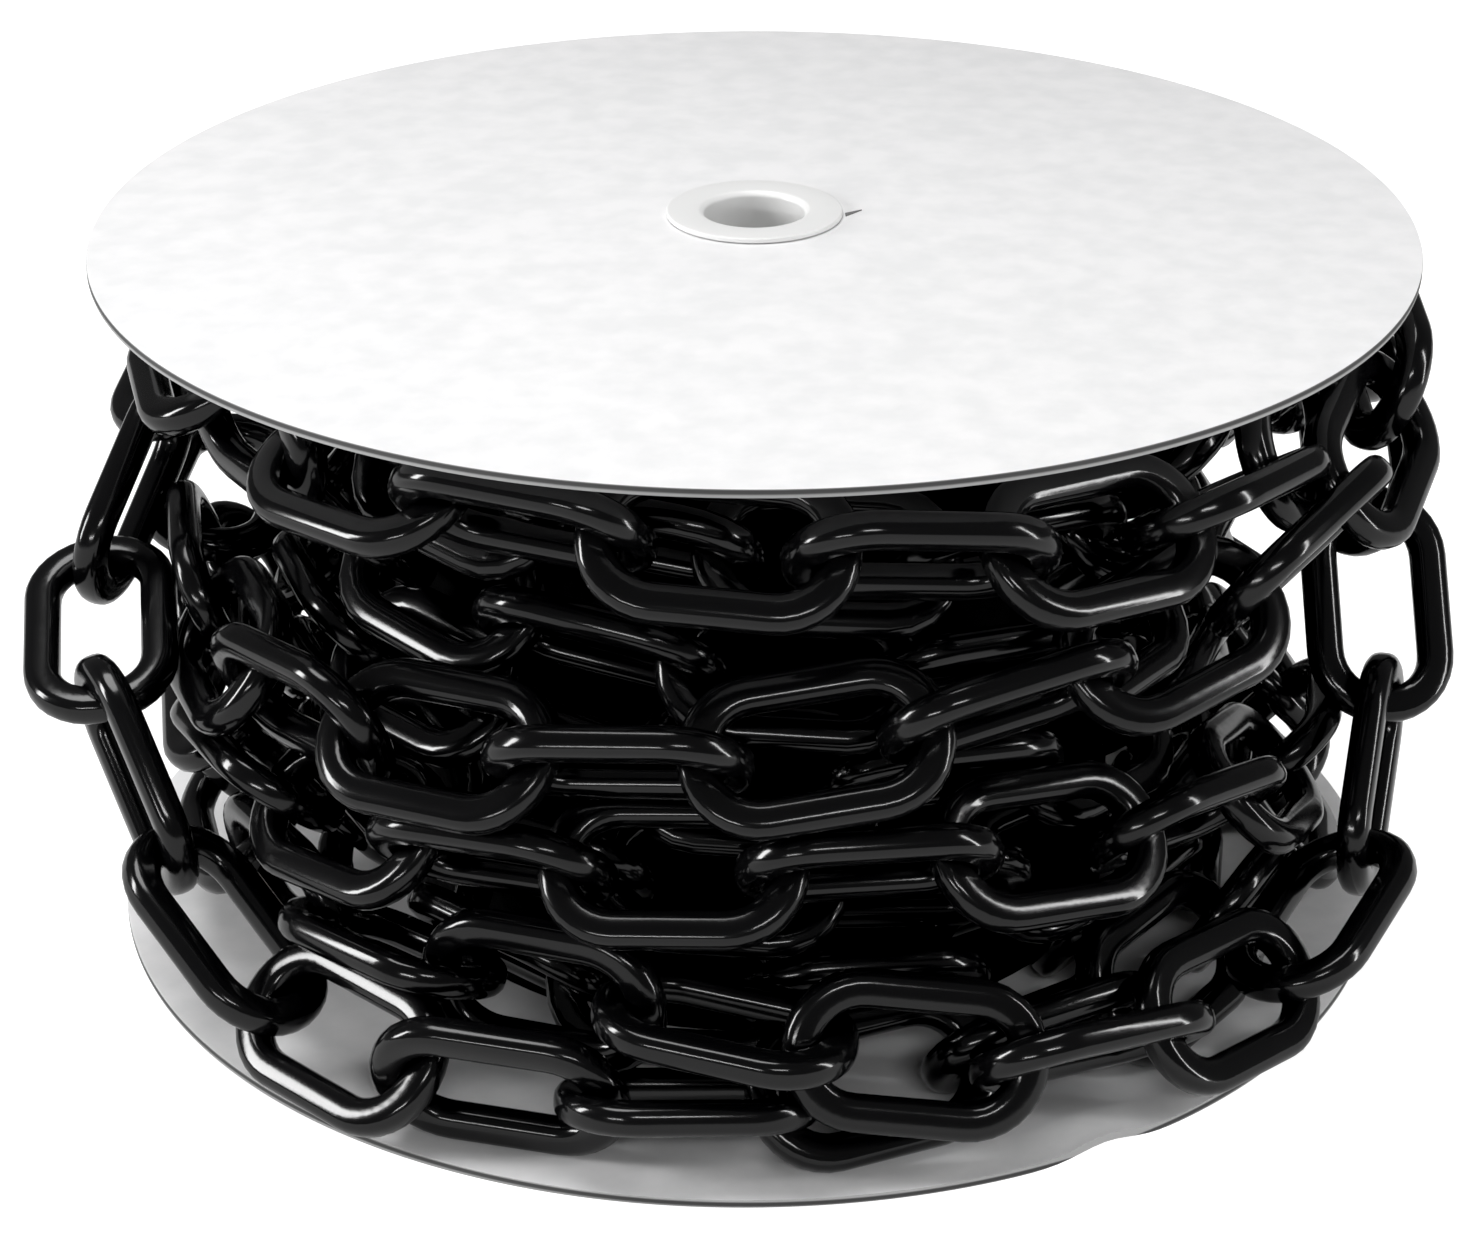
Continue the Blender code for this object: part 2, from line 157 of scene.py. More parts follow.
def addMottle(material):
    # the faint clouds of pressed pulp
    tree = material.node_tree
    finish = finishes["whiteBoard"]
    place = addNode(tree, "ShaderNodeTexCoord")
    clouds = addNode(tree, "ShaderNodeTexNoise")
    clouds.inputs["Scale"].default_value = finish["mottleScale"]
    clouds.inputs["Detail"].default_value = finish["mottleDetail"]
    tone = addNode(tree, "ShaderNodeValToRGB")
    colours = finish["mottle"], finish["colour"]
    for stop, spot, colour in zip(tone.color_ramp.elements, finish["mottleSpan"], colours):
        stop.position, stop.color = spot, colour
    tree.links.new(place.outputs["Object"], clouds.inputs["Vector"])
    tree.links.new(clouds.outputs["Fac"], tone.inputs["Fac"])
    tree.links.new(tone.outputs["Color"], tree.nodes["Principled BSDF"].inputs["Base Color"])


materials = {"black_plastic": makeFinish("glossBlackPlastic"), "white_board": makeFinish("whiteBoard"),
             "white_plastic": makeFinish("whitePlastic"), "grey_card": makeFinish("greyCard")}
addMottle(materials["white_board"])
print("materials made")

# one link, in millimetres: the line along the middle of its wire, the wire, and how finely the
# corners of the line and of the wire are cut in each layer
link = {"halfLength": 22.0, "halfWidth": 12.0, "endFlat": 4.2, "shoulder": 14.6, "pitch": 37.0,
        "wireWidth": 7.0, "shownWidth": 7.4, "shownThickness": 6.5, "shownRounding": 2.6,
        "cornerRadius": 11.5, "outerSteps": (8, 4), "belowSteps": (5, 3)}
# how the links find their places: rounds, distances between wires, and how hard each pull is
settling = {"rounds": 480, "clearance": 7.4, "neighbourClearance": 7.0, "spinArm": 15.0, "lift": 4,
            "liftedShare": 0.4, "pushShare": 0.4, "hookShare": 0.6, "homePull": 0.15, "homeTurn": 0.5,
            "homeFade": 0.35, "homeFadePower": 1.5, "wireGrowth": 0.2}
# where the outer layer and the layer below it may lie between the flanges
drum = {"midHeight": 74.0, "flange": 1.8, "gap": 0.3, "layerGap": 0.4, "outerInside": 100.0,
        "belowInside": 76.5}
backAngles = (180, 540, 900, 1260)

# angle round the reel, height over the middle, distance from the axis and roll, in degrees and millimetres
outerRoute = [
    (-112, 6, 118, 45),
    (-94, 4, 121, 45),
    (-76, 3, 125, -45),
    (-58, 7, 128, 80),
    (-40, 6, 127, -45),
    (-21, 8, 127, 45),
    (-3, 11, 126, -45),
    (14, 17, 126, 45),
    (31, 26, 127, -45),
    (49, 28, 128, 50),
    (67, 38, 128, -30),
    (83, 46, 127, 45),
    (99, 56, 123, -45),
    (117, 59, 118, 45),
    (180, 59, 118, 45),
    (276, 59, 118, -45),
    (294, 59, 119, -60),
    (312, 59, 122, -45),
    (332, 60, 124, 45),
    (349.5, 58, 125, -45),
    (367, 56, 125, 45),
    (385.5, 50, 124, -45),
    (403.5, 45, 122, 45),
    (420, 47, 118, -45),
    (434, 48, 114, 45),
    (452, 41, 112.5, 45),
    (471, 28, 113, -45),
    (491, 17, 114, 45),
    (540, 12, 117, 45),
    (630, -18, 118, -45),
    (648, -22, 118, 45),
    (666, -22, 119, -45),
    (684, -17, 122, 45),
    (702, -12, 124, -45),
    (720.5, -8, 124, 45),
    (740, -10, 125, -45),
    (758.5, -16, 125, 45),
    (778, -22, 123, -45),
    (795, -31, 118, 45),
    (813, -35, 117, -45),
    (900, -37, 118, 45),
    (995, -45, 118, -45),
    (1013, -48, 119, 45),
    (1033, -50, 121, 33),
    (1051, -48, 121, -80),
    (1068, -46, 127, 5),
    (1085, -47, 131, -80),
    (1101.5, -51, 132, 28),
    (1118, -54, 132, -50),
    (1135, -60, 133, 15),
    (1151.5, -51, 132, 80),
    (1159, -21, 131, 5),
    (1170, 10, 130, 50),
    (1184, 36, 131, -45),
    (1200, 40, 129, 45),
    (1214, 39, 123, -45),
    (1248, 37, 119, 45),
    (1330, 40, 120, -45),
    (1348, 28, 122, -60),
    (1357, 4, 130, 5),
    (1372, -5, 136, 75),
    (1377, -34, 136, 15),
    (1393.5, -52, 135, -45),
    (1411, -56, 131, 75),
    (1428, -60, 127, 22),
    (1445, -61, 124, -50),
    (1462, -60, 121, 45),
    (1480, -59, 117, -45),
    (1498, -59, 116, 45),
    (1552, -60, 118, -45),
    (1607, -60, 118, 45),
]

# the layer below, seen between the outer turns: a helix that climbs with a sway and stands
# out further at the front
below = {"start": -180, "end": 1640, "step": 0.5, "lowest": 90, "rise": 24, "sway": 14, "reach": 60,
         "radius": 91, "bulge": 7, "bulgeEdge": 0.5, "bulgeSlope": 0.3, "spacing": 37.25,
         "firstRoll": 45, "rounds": 360}


def filledRoute(route):
    # whole links between the rows of the route, each rolled a quarter turn on the one before
    joints, rolls, angles = [], [], []
    for here, there in zip(route, route[1:]):
        run = math.radians(there[0] - here[0]) * (here[2] + there[2]) / 2
        length = mm * math.dist((run, here[1], here[2]), (0, there[1], there[2]))
        count = max(1, round(length / (mm * link["pitch"])))
        wanted = here[3] + 90 * count
        drift = ((there[3] - wanted + 90) % 180 - 90) / count
        for step in range(count):
            angle, height, radius = (here[i] + (there[i] - here[i]) * step / count for i in range(3))
            joints.append(onDrum(angle, height, radius))
            rolls.append(here[3] + (90 + drift) * step)
            angles.append(angle)
    joints.append(onDrum(*route[-1][:3]))
    return mm * np.array(joints), np.radians(rolls), np.array(angles)


def onDrum(angle, height, radius):
    turn = math.radians(angle)
    return radius * math.sin(turn), -radius * math.cos(turn), height


def belowWinding():
    turns = np.arange(below["start"], below["end"], below["step"])
    bends = np.radians(turns)
    climb = below["rise"] * (turns - below["lowest"]) / 360 + below["sway"] * (1 - np.sin(bends))
    heights = np.clip(climb - below["reach"], -below["reach"], below["reach"])
    standing = np.clip((np.cos(bends) - below["bulgeEdge"]) / below["bulgeSlope"], 0, 1)
    radii = below["radius"] + below["bulge"] * standing
    points = np.stack((radii * np.sin(bends), -radii * np.cos(bends), heights), axis=1)
    lengths = np.concatenate(((0,), np.cumsum(np.linalg.norm(np.diff(points, axis=0), axis=1))))
    marks = np.arange(0, lengths[-1], below["spacing"])
    joints = np.stack([np.interp(marks, lengths, points[:, i]) for i in range(3)], axis=1)
    rolls = below["firstRoll"] + 90 * np.arange(len(joints) - 1)
    return mm * joints, np.radians(rolls), np.interp(marks, lengths, turns)[:-1]


def unit(vectors):
    return vectors / np.linalg.norm(vectors, axis=-1, keepdims=True)


def linkFrames(joints, rolls):
    # a frame for each link: along it, across it, and square to both
    centres = (joints[1:] + joints[:-1]) / 2
    along = unit(joints[1:] - joints[:-1])
    outward = centres * (1, 1, 0)
    outward = unit(outward - np.sum(outward * along, axis=1, keepdims=True) * along)
    upward = np.cross(outward, along)
    across = np.cos(rolls)[:, None] * outward + np.sin(rolls)[:, None] * upward
    return centres, np.stack((along, across, np.cross(along, across)), axis=2)


def closestPoints(p1, q1, p2, q2):
    # where two straight stretches of wire come nearest to each other
    d1, d2, r = q1 - p1, q2 - p2, p1 - p2
    a, e, b = np.sum(d1 * d1, axis=-1), np.sum(d2 * d2, axis=-1), np.sum(d1 * d2, axis=-1)
    c, f = np.sum(d1 * r, axis=-1), np.sum(d2 * r, axis=-1)
    spread = a * e - b * b
    s = np.clip(np.where(spread > 1e-6 * a * e, (b * f - c * e) / np.maximum(spread, 1e-18), 0.5), 0, 1)
    t = np.clip((b * s + f) / e, 0, 1)
    s = np.clip((b * t - c) / a, 0, 1)
    return p1 + d1 * s[..., None], p2 + d2 * t[..., None]


tiny = 1e-9        # keeps a length that is divided by above nought


class Chain:
    # links as rigid loops that are hooked end to end, kept a wire apart and off the reel
    def __init__(self, centres, frames, wall, innerRadius, held=0):
        self.held = held        # this many links stay where they are
        self.centres, self.frames = centres.copy(), frames.copy()
        self.home = centres.copy(), frames.copy()
        self.wall, self.innerRadius = wall, innerRadius
        x, y = link["halfLength"], link["halfWidth"]
        quarter = [(link["shoulder"], y), (x, link["endFlat"])]
        right = quarter + [(px, -py) for px, py in reversed(quarter)]
        self.corners = mm * np.array(right + [(-px, -py) for px, py in right])
        self.moves, self.turns = np.zeros_like(centres), np.zeros_like(centres)
        self.spin = (mm * settling["spinArm"]) ** 2
        self.pitch = mm * link["pitch"]

    def paths(self):
        return self.centres[:, None] + np.einsum("pi,kji->kpj", self.corners, self.frames[:, :, :2])

    def push(self, links, points, normals, depths, others=None, otherPoints=None,
             share=settling["pushShare"]):
        arm = np.cross(points - self.centres[links], normals)
        mass = 1 + np.sum(arm * arm, axis=1) / self.spin
        if others is not None:
            otherArm = np.cross(otherPoints - self.centres[others], normals)
            mass = mass + 1 + np.sum(otherArm * otherArm, axis=1) / self.spin
        size = (share * depths / mass)[:, None]
        np.add.at(self.moves, links, size * normals)
        np.add.at(self.turns, links, size * arm / self.spin)
        if others is not None:
            np.add.at(self.moves, others, -size * normals)
            np.add.at(self.turns, others, -size * otherArm / self.spin)

    def apply(self):
        self.moves[:self.held] = 0
        self.turns[:self.held] = 0
        self.centres += self.moves
        sides = self.frames.transpose(0, 2, 1)
        turned = self.frames + np.cross(self.turns[:, None, :], sides).transpose(0, 2, 1)
        along, across = unit(turned[:, :, 0]), turned[:, :, 1]
        across = unit(across - np.sum(across * along, axis=1, keepdims=True) * along)
        self.frames = np.stack((along, across, np.cross(along, across)), axis=2)
        self.moves[:] = 0
        self.turns[:] = 0

    def holdJoints(self):
        links = np.arange(self.held, len(self.centres) - 1)
        ends = self.centres[links] + self.frames[links, :, 0] * self.pitch / 2
        starts = self.centres[links + 1] - self.frames[links + 1, :, 0] * self.pitch / 2
        apart = starts - ends
        size = np.linalg.norm(apart, axis=1)
        normals = apart / np.maximum(size, tiny)[:, None]
        self.push(links, ends, normals, size, links + 1, starts, settling["hookShare"])

    def partWires(self, clearance, neighbourClearance):
        near = 2 * (mm * link["halfLength"] + clearance / 2)
        offsets = np.linalg.norm(self.centres[:, None] - self.centres[None], axis=2)
        first, second = np.nonzero(np.triu(offsets < near, 1))
        first, second = first[second >= self.held], second[second >= self.held]
        paths = self.paths()
        ends = np.roll(paths, -1, axis=1)
        a, b = closestPoints(paths[first][:, :, None], ends[first][:, :, None],
                             paths[second][:, None], ends[second][:, None])
        apart = np.linalg.norm(a - b, axis=3).reshape(len(first), -1)
        a, b = a.reshape(len(first), -1, 3), b.reshape(len(first), -1, 3)
        hooked = (second - first == 1) & (second != self.held)
        allowed = np.where(hooked, neighbourClearance, clearance)
        row, spot = np.nonzero(apart < allowed[:, None])
        size = apart[row, spot]
        tally = np.bincount(row, minlength=len(first))[row]
        normals = (a[row, spot] - b[row, spot]) / np.maximum(size, tiny)[:, None]
        depths = (allowed[row] - size) / np.sqrt(tally)
        self.push(first[row], a[row, spot], normals, depths, second[row], b[row, spot])

    def contain(self):
        paths = self.paths()
        points = np.concatenate((paths, (paths + np.roll(paths, -1, axis=1)) / 2), axis=1)
        rows = np.arange(len(points))
        highest = points[rows, np.argmax(points[:, :, 2], axis=1)]
        lowest = points[rows, np.argmin(points[:, :, 2], axis=1)]
        down = np.tile((0.0, 0.0, -1.0), (len(points), 1))
        self.push(rows, highest, down, np.maximum(highest[:, 2] - self.wall, 0))
        self.push(rows, lowest, -down, np.maximum(-self.wall - lowest[:, 2], 0))
        inner = points[rows, np.argmin(np.linalg.norm(points[:, :, :2], axis=2), axis=1)]
        radius = np.linalg.norm(inner[:, :2], axis=1)
        outward = inner * (1, 1, 0) / radius[:, None]
        self.push(rows, inner, outward, np.maximum(self.innerRadius - radius, 0))

    def pullHome(self, strength, lift):
        centres, frames = self.home
        flat = centres * (1, 1, 0)
        radius = np.linalg.norm(flat, axis=1, keepdims=True)
        lifted = centres + flat / radius * lift * (radius - np.min(radius))
        self.moves += strength * (lifted - self.centres)
        away = np.sum(np.cross(frames, self.frames, axis=1), axis=2)
        self.turns -= strength * settling["homeTurn"] * away

    def settle(self, rounds, lift):
        # lifted off the reel first, then let down on it with the hooks closed
        self.pullHome(1, lift)
        self.apply()
        for roundNumber in range(rounds):
            progress = roundNumber / rounds
            closing = min(1, progress / settling["liftedShare"])
            closed = max(0, progress - settling["liftedShare"])
            fade = max(0, 1 - closed / settling["homeFade"]) ** settling["homeFadePower"]
            self.pullHome(settling["homePull"] * fade, lift * (1 - closing))
            if closing == 1:
                self.holdJoints()
            growth = min(1, closed / settling["wireGrowth"])
            self.partWires(mm * settling["clearance"], mm * settling["neighbourClearance"] * growth)
            self.contain()
            self.apply()


def insideLimit(layer):
    return mm * (drum[layer] + drum["layerGap"] + link["wireWidth"] / 2)


outerJoints, outerRolls, outerAngles = filledRoute(outerRoute)
outerCentres, outerFrames = linkFrames(outerJoints, outerRolls)
wall = mm * (drum["midHeight"] - drum["flange"] - link["wireWidth"] / 2 - drum["gap"])
outer = Chain(outerCentres, outerFrames, wall, insideLimit("outerInside"))
outer.settle(settling["rounds"], settling["lift"])
outerCount = len(outerCentres)
print("outer chain settled:", outerCount, "links")

belowJoints, belowRolls, belowAngles = belowWinding()
belowCentres, belowFrames = linkFrames(belowJoints, belowRolls)
both = Chain(np.concatenate((outer.centres, belowCentres)), np.concatenate((outer.frames, belowFrames)),
             wall, insideLimit("belowInside"), held=outerCount)
both.settle(below["rounds"], 0)
print("layer below settled:", len(belowCentres), "links")


def nodeInput(group, name, kind, value):
    socket = group.interface.new_socket(name=name, in_out="INPUT", socket_type=kind)
    socket.default_value = value
    return socket.identifier


def linkTree():
    # one moulded link swept along a rounded slot, set on every point by its turn attribute
    tree = bpy.data.node_groups.new("mouldedLinks", "GeometryNodeTree")
    tree.interface.new_socket(name="Geometry", in_out="INPUT", socket_type="NodeSocketGeometry")
    tree.interface.new_socket(name="Geometry", in_out="OUTPUT", socket_type="NodeSocketGeometry")
    keys = {name: nodeInput(tree, name, kind, value) for name, kind, value in (
        ("Path Length", "NodeSocketFloat", 0.044), ("Path Width", "NodeSocketFloat", 0.024),
        ("Corner Radius", "NodeSocketFloat", 0.0115), ("Corner Steps", "NodeSocketInt", 8),
        ("Wire Width", "NodeSocketFloat", 0.007), ("Wire Thickness", "NodeSocketFloat", 0.0058),
        ("Wire Rounding", "NodeSocketFloat", 0.0026), ("Wire Steps", "NodeSocketInt", 4))}
    keys["Material"] = tree.interface.new_socket(
        name="Material", in_out="INPUT", socket_type="NodeSocketMaterial").identifier
    start = addNode(tree, "NodeGroupInput")
    end = addNode(tree, "NodeGroupOutput")
    join = tree.links.new

    def roundedLoop(length, width, radius, steps):
        loop = addNode(tree, "GeometryNodeCurvePrimitiveQuadrilateral")
        fillet = addNode(tree, "GeometryNodeFilletCurve", mode="POLY")
        join(start.outputs[length], loop.inputs["Width"])
        join(start.outputs[width], loop.inputs["Height"])
        join(loop.outputs["Curve"], fillet.inputs["Curve"])
        join(start.outputs[radius], fillet.inputs["Radius"])
        join(start.outputs[steps], fillet.inputs["Count"])
        return fillet.outputs["Curve"]

    sweep = addNode(tree, "GeometryNodeCurveToMesh")
    path = roundedLoop("Path Length", "Path Width", "Corner Radius", "Corner Steps")
    wire = roundedLoop("Wire Width", "Wire Thickness", "Wire Rounding", "Wire Steps")
    join(path, sweep.inputs["Curve"])
    join(wire, sweep.inputs["Profile Curve"])
    smooth = addNode(tree, "GeometryNodeSetShadeSmooth")
    join(sweep.outputs["Mesh"], smooth.inputs["Geometry"])
    turn = addNode(tree, "GeometryNodeInputNamedAttribute", data_type="FLOAT_VECTOR")
    turn.inputs["Name"].default_value = "turn"
    rotation = addNode(tree, "FunctionNodeEulerToRotation")
    join(turn.outputs["Attribute"], rotation.inputs["Euler"])
    places = addNode(tree, "GeometryNodeInstanceOnPoints")
    join(start.outputs["Geometry"], places.inputs["Points"])
    join(smooth.outputs["Geometry"], places.inputs["Instance"])
    join(rotation.outputs["Rotation"], places.inputs["Rotation"])
    real = addNode(tree, "GeometryNodeRealizeInstances")
    join(places.outputs["Instances"], real.inputs["Geometry"])
    paint = addNode(tree, "GeometryNodeSetMaterial")
    join(real.outputs["Geometry"], paint.inputs["Geometry"])
    join(start.outputs["Material"], paint.inputs["Material"])
    join(paint.outputs["Geometry"], end.inputs["Geometry"])
    return tree, keys


chainTree, chainKeys = linkTree()


def makeLinks(name, centres, frames, cornerSteps, wireSteps):
    cloud = bpy.data.meshes.new(name)
    lifted = centres + (0, 0, mm * drum["midHeight"])
    cloud.from_pydata([tuple(place) for place in lifted], [], [])
    turn = cloud.attributes.new("turn", "FLOAT_VECTOR", "POINT")
    for spot, axes in zip(turn.data, frames):
        spot.vector = Matrix(axes.tolist()).to_euler()
    holder = bpy.data.objects.new(name, cloud)
    bpy.context.scene.collection.objects.link(holder)
    modifier = holder.modifiers.new("links", "NODES")
    modifier.node_group = chainTree
    sizes = {"Path Length": mm * 2 * link["halfLength"], "Path Width": mm * 2 * link["halfWidth"],
             "Corner Radius": mm * link["cornerRadius"], "Corner Steps": cornerSteps,
             "Wire Width": mm * link["shownWidth"], "Wire Thickness": mm * link["shownThickness"],
             "Wire Rounding": mm * link["shownRounding"], "Wire Steps": wireSteps,
             "Material": materials["black_plastic"]}
    for key, value in sizes.items():
        modifier[chainKeys[key]] = value
    graph = bpy.context.evaluated_depsgraph_get()
    mesh = bpy.data.meshes.new_from_object(holder.evaluated_get(graph), depsgraph=graph)
    bpy.data.objects.remove(holder)
    made = bpy.data.objects.new(name, mesh)
    bpy.context.scene.collection.objects.link(made)
    return made


def addTurns(name, node, chain, start, angles, cornerSteps, wireSteps):
    # one piece for each turn, cut where it passes the back of the reel
    cuts = [0, *(int(cut) for cut in np.searchsorted(angles, backAngles)), len(angles)]
    for number, (first, last) in enumerate(zip(cuts, cuts[1:]), 1):
        own = slice(start + first, start + last)
        turn = makeLinks(f"{name}{number}", chain.centres[own], chain.frames[own], cornerSteps, wireSteps)
        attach(turn, "root")
        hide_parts(f"{node}_{number}")


addTurns("chainTurn", "chain_turn", outer, 0, outerAngles, *link["outerSteps"])
print("outer turns made")
addTurns("innerTurn", "inner_turn", both, outerCount, belowAngles, *link["belowSteps"])
print("turns of the layer below made")

# the two boards: their common sizes, and the bent rim of the lower one
board = {"radius": 135.0, "thickness": 1.8, "hole": 13.3, "sides": 320, "roundingSteps": 2,
         "rimRise": 148.0, "dome": 2.0, "domeInside": 13.0, "upperRounding": 0.3}
lowerRim = {"rounding": 0.25, "bendFrom": 100, "bendRings": (120, 105), "spread": 1.3, "shift": -1.2,
            "wave": 0.25, "wavesRound": 3, "waveStart": 0.6, "dentAngle": 30.5, "dentHalfWidth": 3.6,
            "dentHeight": 2.2, "recessRadius": 18.3, "recessTop": 1.2}
# the greys up the cut edge are painted shade along the rim, laid over the board's own face papers and core
cutEdge = {"roughness": 0.85, "steepest": 0.5, "depth": 1,
           "coreAndShadeBands": ((0.0, 0.42), (0.3, 0.4), (0.5, 0.075), (0.82, 0.06), (0.95, 0.3), (1.0, 0.5))}


def shadedBoardEdge():
    # the cut edge of the board: a light upper and lower face paper, painted grey, and a core between them
    # painted near-black as the shade line along the rim
    material, tree, shader = newMaterial("shadedBoardEdge")
    shader.inputs["Roughness"].default_value = cutEdge["roughness"]
    place = addNode(tree, "ShaderNodeTexCoord")
    parts = addNode(tree, "ShaderNodeSeparateXYZ")
    tree.links.new(place.outputs["Object"], parts.inputs["Vector"])
    # the height over each board's own underside: the upper board's is taken off
    wrapped = addNode(tree, "ShaderNodeMath", operation="MODULO")
    wrapped.inputs[1].default_value = mm * (board["rimRise"] - board["thickness"])
    height = addNode(tree, "ShaderNodeMapRange")
    height.inputs["From Max"].default_value = mm * board["thickness"]
    tree.links.new(parts.outputs["Z"], wrapped.inputs[0])
    tree.links.new(wrapped.outputs[0], height.inputs["Value"])
    ramp = addNode(tree, "ShaderNodeValToRGB")
    stops = ramp.color_ramp.elements
    for spot, _ in cutEdge["coreAndShadeBands"][1:-1]:
        stops.new(spot)
    for stop, (spot, grey) in zip(stops, cutEdge["coreAndShadeBands"]):
        stop.color = (grey, grey, grey, 1)
    tree.links.new(height.outputs["Result"], ramp.inputs["Fac"])
    tree.links.new(ramp.outputs["Color"], shader.inputs["Base Color"])
    return material


def showEdge(piece, material):
    piece.data.materials.append(material)
    for face in piece.data.polygons:
        outside = math.hypot(*face.center[:2]) > mm * (board["radius"] - cutEdge["depth"])
        if outside and abs(face.normal.z) < cutEdge["steepest"]:
            face.material_index = 1


def addPiece(name, build, slot, node, smoothAngle=40, material=None):
    shape = bmesh.new()
    build(shape)
    bmesh.ops.recalc_face_normals(shape, faces=shape.faces)
    mesh = bpy.data.meshes.new(name)
    shape.to_mesh(mesh)
    shape.free()
    mesh.shade_smooth()
    mesh.set_sharp_from_angle(angle=math.radians(smoothAngle))
    mesh.materials.append(material or materials[slot])
    piece = bpy.data.objects.new(name, mesh)
    bpy.context.scene.collection.objects.link(piece)
    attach(piece, "root")
    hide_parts(node)
    return piece


def spun(profile, sides, bend=None):
    # a closed outline of (radius, height) points in millimetres, turned round the spindle
    def build(shape):
        rings = []
        for radius, height in profile:
            places = []
            for step in range(sides):
                turn = math.tau * step / sides
                place = Vector((radius * math.sin(turn), -radius * math.cos(turn), height))
                places.append(shape.verts.new(mm * (bend(turn, radius, place) if bend else place)))
            rings.append(places)
        for ring, following in zip(rings, rings[1:] + rings[:1]):
            for step in range(sides):
                ahead = (step + 1) % sides
                shape.faces.new((ring[step], ring[ahead], following[ahead], following[step]))
    return build


def rounded(profile, radii, steps=4):
    # the outline with its corners turned into small arcs
    points = []
    count = len(profile)
    for i, (corner, radius) in enumerate(zip(profile, radii)):
        corner, before, after = Vector(corner), Vector(profile[i - 1]), Vector(profile[(i + 1) % count])
        if not radius:
            points.append(tuple(corner))
            continue
        start = corner + (before - corner).normalized() * radius
        end = corner + (after - corner).normalized() * radius
        for step in range(steps + 1):
            share = step / steps
            bend = start * (1 - share) ** 2 + corner * 2 * share * (1 - share) + end * share ** 2
            points.append(tuple(bend))
    return points


# the deeper turns of chain as one solid drum, finished darker and duller than the chain as painted shade
# between the hidden links
core = {"radius": drum["belowInside"], "inside": 30.3, "bottom": 2.1, "top": 145.9, "sides": 96}
coreOutline = [(core["radius"], core["bottom"]), (core["radius"], core["top"]),
               (core["inside"], core["top"]), (core["inside"], core["bottom"])]
addPiece("hiddenWinding", spun(coreOutline, core["sides"]), "black_plastic", "wound_chain_core",
         material=makeFinish("shadedWinding"))
print("hidden layers made")


def bentRim(turn, radius, place):
    # the rim spreads a little, leans to the left, waves and is dented up right of the front
    edge = max(0, (radius - lowerRim["bendFrom"]) / (board["radius"] - lowerRim["bendFrom"])) ** 2
    dent = math.exp(-((math.degrees(turn) - lowerRim["dentAngle"]) / lowerRim["dentHalfWidth"]) ** 2)
    wave = 1 + math.sin(lowerRim["wavesRound"] * turn + lowerRim["waveStart"])
    rise = lowerRim["dentHeight"] * dent + lowerRim["wave"] * wave
    spread = lowerRim["spread"] * Vector((math.sin(turn), -math.cos(turn), 0))
    return place + edge * (spread + Vector((lowerRim["shift"], 0, rise)))


def lowerOutline():
    # up the rim, in over the top, down the hole with the recess for the bush, and out again
    top, recess = board["thickness"], lowerRim["recessTop"]
    rings = lowerRim["bendRings"]
    profile = [(board["radius"], 0), (board["radius"], top), *((radius, top) for radius in rings),
               (board["hole"], top), (board["hole"], recess), (lowerRim["recessRadius"], recess),
               (lowerRim["recessRadius"], 0), *((radius, 0) for radius in reversed(rings))]
    radii = [lowerRim["rounding"]] * 2 + [0] * (len(profile) - 2)
    return rounded(profile, radii, board["roundingSteps"])


def domeHeight(radius):
    rise = board["dome"] * (board["radius"] - radius) / (board["radius"] - board["domeInside"])
    return board["rimRise"] + rise


def upperOutline():
    hole, top, thickness = board["hole"], board["rimRise"], board["thickness"]
    profile = [(board["radius"], top), (board["radius"], top - thickness),
               (hole, domeHeight(hole) - thickness), (hole, domeHeight(hole))]
    return rounded(profile, [board["upperRounding"]] * 2 + [0, 0], board["roundingSteps"])


edge = shadedBoardEdge()
showEdge(addPiece("lowerBoard", spun(lowerOutline(), board["sides"], bentRim), "white_board",
                  "bottom_flange"), edge)
showEdge(addPiece("upperBoard", spun(upperOutline(), board["sides"]), "white_board", "top_flange"), edge)

# a bush: a thin head with a soft rim, a rounded lip round the bore and a sleeve into the tube
bush = {"headRadius": 18, "head": 0.9, "sleeveRadius": 13.0, "sleeveLength": 22, "bore": 10.3,
        "lipRadius": 11.2, "lipDepth": 0.8, "rounding": 0.4, "sleeveRounding": 0.2, "steps": 4,
        "rise": 0.3, "sides": 96, "smoothAngle": 30}


def bushOutline(face, inward):
    profile = [(bush["headRadius"], bush["head"]), (bush["headRadius"], 0), (bush["lipRadius"], 0),
               (bush["bore"], bush["lipDepth"]), (bush["bore"], bush["sleeveLength"]),
               (bush["sleeveRadius"], bush["sleeveLength"]), (bush["sleeveRadius"], bush["head"])]
    radii = [0, *[bush["rounding"]] * 3, *[bush["sleeveRounding"]] * 2, 0]
    return [(radius, face + inward * depth) for radius, depth in rounded(profile, radii, bush["steps"])]


bushTop = domeHeight(bush["headRadius"]) + bush["rise"] + bush["head"]
for name, node, face, inward in (("upperBush", "top_bush", bushTop, -1),
                                 ("lowerBush", "bottom_bush", 0, 1)):
    addPiece(name, spun(bushOutline(face, inward), bush["sides"]), "white_plastic", node, bush["smoothAngle"])

tube = {"outside": 30.0, "inside": 26.2, "bottom": 2.1, "top": 147.4, "rounding": 0.3, "steps": 2,
        "sides": 96}
tubeOutline = rounded([(tube["outside"], tube["bottom"]), (tube["outside"], tube["top"]),
                       (tube["inside"], tube["top"]), (tube["inside"], tube["bottom"])],
                      [tube["rounding"]] * 4, tube["steps"])
addPiece("cardTube", spun(tubeOutline, tube["sides"]), "grey_card", "core_tube")
print("reel made")

